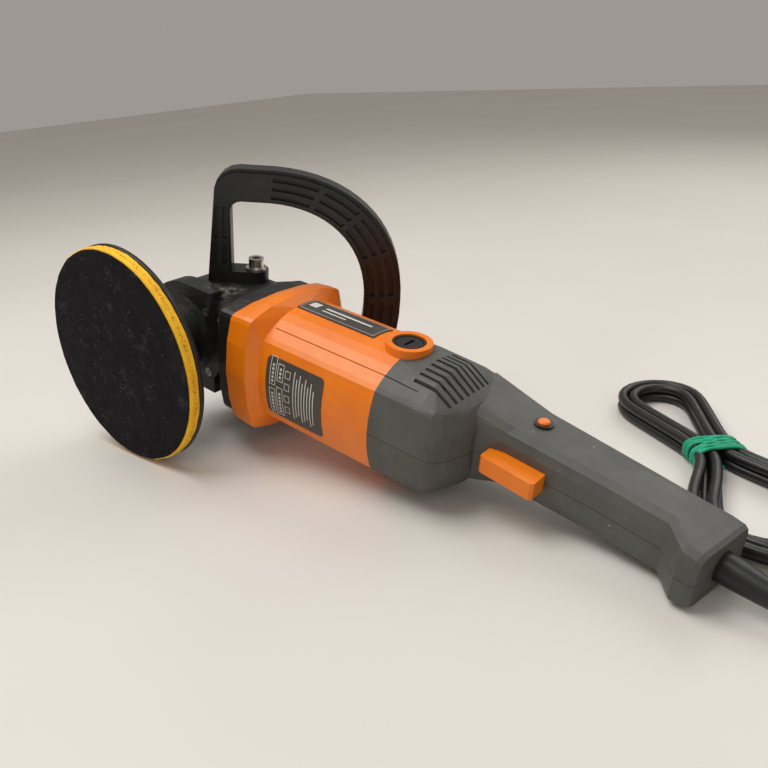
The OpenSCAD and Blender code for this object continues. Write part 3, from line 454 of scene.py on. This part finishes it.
def lead_to_plug(hank):
    """A smooth cubic from the last strand to the plug's tail, with a low hump over the turns under it."""
    heading = Vector((math.cos(PLUG_TURN), math.sin(PLUG_TURN), 0))
    tail = PLUG_AT - PLUG_TAIL * heading
    last, leave = hank[-1], (hank[-1] - hank[-3]).normalized()
    reach = 0.95 * (tail - last).length
    lead = []
    for i in range(1, 13):
        u = i / 12
        h00, h10 = 2 * u**3 - 3 * u**2 + 1, u**3 - 2 * u**2 + u
        h01, h11 = -2 * u**3 + 3 * u**2, u**3 - u**2
        over = Vector((0, 0, HUMP * math.sin(math.pi * u) ** 1.3))
        lead.append(h00 * last + h10 * reach * leave + h01 * tail + h11 * reach * heading + over)
    return lead


def make_cord():
    """The whole cord: out of the strain relief, round the hank and to the plug."""
    hank = hank_points()
    line = [Vector(p) for p in ROUTE] + hank + lead_to_plug(hank)
    line = smooth_line(resampled(smooth_line(resampled(line, 5), 4), 8), 1)
    curve = bpy.data.curves.new("mains_cord_line", "CURVE")
    curve.dimensions = "3D"
    spline = curve.splines.new("POLY")
    spline.points.add(len(line) - 1)
    for p, v in zip(spline.points, line):
        p.co = (*(v * MM), 1)
    curve.bevel_depth, curve.bevel_resolution, curve.use_fill_caps = CORD_D / 2 * MM, 6, True
    spline.use_smooth = True
    obj = piece("mains_cord_line", curve, CORD, "tool")
    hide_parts("mains_cord", "cord_hank")


def band_loop(half_w, low, high, x, tilt, swell, r):
    """A closed elastic strand round the bundle at x, tilted along the bundle."""
    points = []
    for i in range(64):
        a = 2 * math.pi * i / 64
        ca, sa = math.cos(a), math.sin(a)
        y = half_w * math.copysign(abs(ca) ** 0.55, ca)
        z = (low + high) / 2 + (high - low) / 2 * math.copysign(abs(sa) ** 0.55, sa)
        points.append(on_hank(x + tilt * y / half_w + swell * math.sin(3 * a), y, z) * MM)
    curve = bpy.data.curves.new("band", "CURVE")
    curve.dimensions = "3D"
    spline = curve.splines.new("POLY")
    spline.points.add(len(points) - 1)
    for p, v in zip(spline.points, points):
        p.co = (*v, 1)
    spline.use_cyclic_u = True
    curve.bevel_depth, curve.bevel_resolution = r * MM, 3
    return curve


# each wrap of the tie: its place along the hank and how far it leans along it, in mm
WRAPS = [
    (-8.5, 2.0), (-6.2, -2.4), (-3.6, 4.5), (-1.2, -5.0), (0.8, 6.5), (3.2, -3.0), (5.4, 3.5), (7.6, -2.2),
    (9.0, 1.5),
]


def make_tie():
    """The wraps of a green elastic, joined to one mesh."""
    bm = bmesh.new()
    for k, (x, tilt) in enumerate(WRAPS):
        curve = band_loop(18.9 + 0.22 * (k % 4), 1.5, 17.3, TIE_X + x, tilt, 0.5, 1.35)
        obj = bpy.data.objects.new("band", curve)
        scene.collection.objects.link(obj)
        bpy.context.view_layer.update()
        mesh = bpy.data.meshes.new_from_object(obj.evaluated_get(bpy.context.evaluated_depsgraph_get()))
        bm.from_mesh(mesh)
        bpy.data.objects.remove(obj)
    mesh = bpy.data.meshes.new("tie_wraps")
    bm.to_mesh(mesh)
    obj = piece("tie_wraps", mesh, TIE, "tool")
    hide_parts("hank_tie")
    return obj


tie = make_tie()
make_cord()

# ---- pad ----


def lathe(name, profile, steps, wobble, seed):
    """A solid turned round the spindle axis; profile is [(radius, distance towards the pad)] in mm."""
    bm = bmesh.new()
    rings = []
    for r, z in profile:
        ring = []
        for i in range(steps):
            a = 2 * math.pi * i / steps
            p = Vector((r * math.cos(a), r * math.sin(a), z))
            d = wobble * (noise.fractal(p * 0.09 + Vector((seed, 0, 0)), 0.7, 2.1, 5) - 1.0)
            rr = r + min(d, 0) if r > 1 else r
            ring.append(bm.verts.new(row(rr * math.cos(a), -z, rr * math.sin(a))))
        rings.append(ring)
    for a, b in zip(rings, rings[1:]):
        for i in range(steps):
            j = (i + 1) % steps
            bm.faces.new((a[i], b[i], b[j], a[j]))
    bm.faces.new(rings[0])
    bm.faces.new(list(reversed(rings[-1])))
    bmesh.ops.recalc_face_normals(bm, faces=bm.faces)
    mesh = bpy.data.meshes.new(name)
    bm.to_mesh(mesh)
    return mesh


# the outlines of the foam and the hook cloth: (radius, distance from the motor's axis towards the pad)
FOAM_PROFILE = [
    (1, 93.7), (60, 93.7), (88.6, 93.7), (89.6, 94.3), (89.95, 95.2), (89.9, 97), (89.95, 98.6),
    (89.85, 100.4), (89.7, 101.8), (89.0, 102.6), (87.8, 102.9), (60, 102.9), (1, 102.9),
]
CLOTH_PROFILE = [
    (0.6, 103.0), (87.2, 103.0), (88.3, 103.1), (88.45, 103.5), (88.1, 103.9), (86.5, 104.0), (70, 103.94),
    (50, 103.98), (30, 103.93), (12, 103.97), (0.6, 103.96),
]
ROUND_STEPS = 300


def make_pad():
    """The foam disc with its uneven rim, and the hook cloth on it."""
    mesh = lathe("foam_disc", FOAM_PROFILE, ROUND_STEPS, 0.5, 3.0)
    disc = piece("foam_disc", mesh, SLOTS["foam_yellow"], "spindle_set")
    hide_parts("foam_pad")
    mesh = lathe("hook_cloth_disc", CLOTH_PROFILE, ROUND_STEPS, 0.35, 8.0)
    face = piece("hook_cloth_disc", mesh, SLOTS["hook_black"], "spindle_set")
    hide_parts("hook_face")


make_pad()

# ---- printed plates ----

HOUSING_R = 50  # half the housing's width and height
SIDE_ARC, TOP_ARC = 82.0192, 61.606  # radii of the arcs that its sides and its top follow
CELLS = 10  # steps in which a printed field follows the skin


def skin_y(z, lift):
    """The housing's side towards the pad at height z, in the tool frame."""
    k = 1 + lift / HOUSING_R
    r = SIDE_ARC * k
    return -((HOUSING_R * k - r) + math.sqrt(r * r - z * z))


def skin_z(y, lift):
    """The housing's top at y, in the tool frame."""
    k = 1 + lift / HOUSING_R
    return -(TOP_ARC - HOUSING_R) * k + math.sqrt((TOP_ARC * k) ** 2 - y * y)


def patch(bm, place, box, lift):
    """A thin printed field that follows the skin; box is (x0, x1, v0, v1) in mm."""
    x0, x1, v0, v1 = box
    grid = []
    for i in range(CELLS + 1):
        v = v0 + (v1 - v0) * i / CELLS
        grid.append([bm.verts.new(place(x, v, lift)) for x in (x0, x1)])
    for a, b in zip(grid, grid[1:]):
        bm.faces.new((a[0], a[1], b[1], b[0]))


def on_side(x, z, lift):
    return row(x, skin_y(z, lift), z)


def on_top(x, y, lift):
    return row(x, y, skin_z(y, lift))


def plate(name, place, boxes, lift, look):
    """Printed fields on the skin as one thin piece."""
    bm = bmesh.new()
    for box in boxes:
        patch(bm, place, box, lift)
    bmesh.ops.recalc_face_normals(bm, faces=bm.faces)
    mesh = bpy.data.meshes.new(name)
    bm.to_mesh(mesh)
    obj = piece(name, mesh, look, "tool", smooth=False)
    thick = obj.modifiers.new("thickness", "SOLIDIFY")
    thick.thickness, thick.offset = 0.08 * MM, 0
    return obj


def frame_boxes(x0, x1, v0, v1, w):
    """Four bars round a field."""
    return [(x0, x1, v0, v0 + w), (x0, x1, v1 - w, v1), (x0, x0 + w, v0, v1), (x1 - w, x1, v0, v1)]


def label_marks():
    """Four tall frames with dots, four small frames and eight bars, which say nothing."""
    line, pitch = 0.55, 3.2
    marks = []
    for x0, z0, z1 in ((118.3, 3, 26), (118.3, -24, 0), (126.1, 8, 22), (126.1, -22, 3)):
        marks += frame_boxes(x0, x0 + 6.4, z0, z1, line)
        for k in range(int((z1 - z0 - 4) / pitch)):
            marks.append((x0 + 2.2, x0 + 4.2, z0 + 2.4 + pitch * k, z0 + 4.4 + pitch * k))
    for k in range(4):
        marks += frame_boxes(134.2, 139.6, 13 - 10 * k, 19 - 10 * k, line)
    for k in range(8):
        marks.append((143.2 + 2.9 * k, 144.1 + 2.9 * k, -19 + (k % 3) * 2.5, 21 - (k * 5) % 9))
    return marks


# a plain frame with one rectangle and two bars
BRAND_MARKS = frame_boxes(107.6, 182.4, -6.4, 14.4, 0.35)
BRAND_MARKS += [(111, 119, 0, 8.6), (126, 172, 3.6, 6.2), (126, 150, -1.0, 0.4)]
LABEL_LIFT, BRAND_LIFT = 0.55, 0.85  # how far the print stands over the housing's skin

plate("rating_marks", on_side, label_marks(), LABEL_LIFT, PRINT)
plate("brand_marks", on_top, BRAND_MARKS, BRAND_LIFT, PRINT)

# ---- floor and light ----


def stage():
    """A plain pale table, an even sky and three soft lamps."""
    bpy.ops.mesh.primitive_plane_add(size=8, location=(0, 0, -0.0005))
    floor = bpy.context.object
    floor.name = "floor"
    m = Nodes("pale_table")
    pale = m.mix(m.ramp(m.noise(0.4, 3), 0.3, 0.8), rgb(224, 220, 213), rgb(217, 212, 205))
    m.link(pale, m.bsdf.inputs["Base Color"])
    m.bsdf.inputs["Roughness"].default_value = 0.38
    m.bsdf.inputs["Specular IOR Level"].default_value = 0.35
    floor.data.materials.append(m.mat)
    world = bpy.data.worlds.new("studio")
    scene.world = world
    world.use_nodes = True
    world.node_tree.nodes["Background"].inputs["Color"].default_value = rgb(214, 208, 200)
    world.node_tree.nodes["Background"].inputs["Strength"].default_value = 0.50
    for name, place, aim, size, power in (
        ("key", (-0.5, -0.3, 1.5), (0, 0, 0), 1.1, 18.5), ("fill", (1.2, -1.1, 0.9), (0, 0, 0.05), 1.4, 5),
        ("rear", (0.2, 1.3, 1.1), (0, 0, 0.05), 1.2, 8),
    ):
        lamp = bpy.data.objects.new(name, bpy.data.lights.new(name, "AREA"))
        lamp.data.size, lamp.data.energy = size, power
        lamp.location = place
        lamp.rotation_euler = (Vector(aim) - Vector(place)).to_track_quat("-Z", "Y").to_euler()
        scene.collection.objects.link(lamp)


stage()
scene.view_settings.view_transform = "Standard"
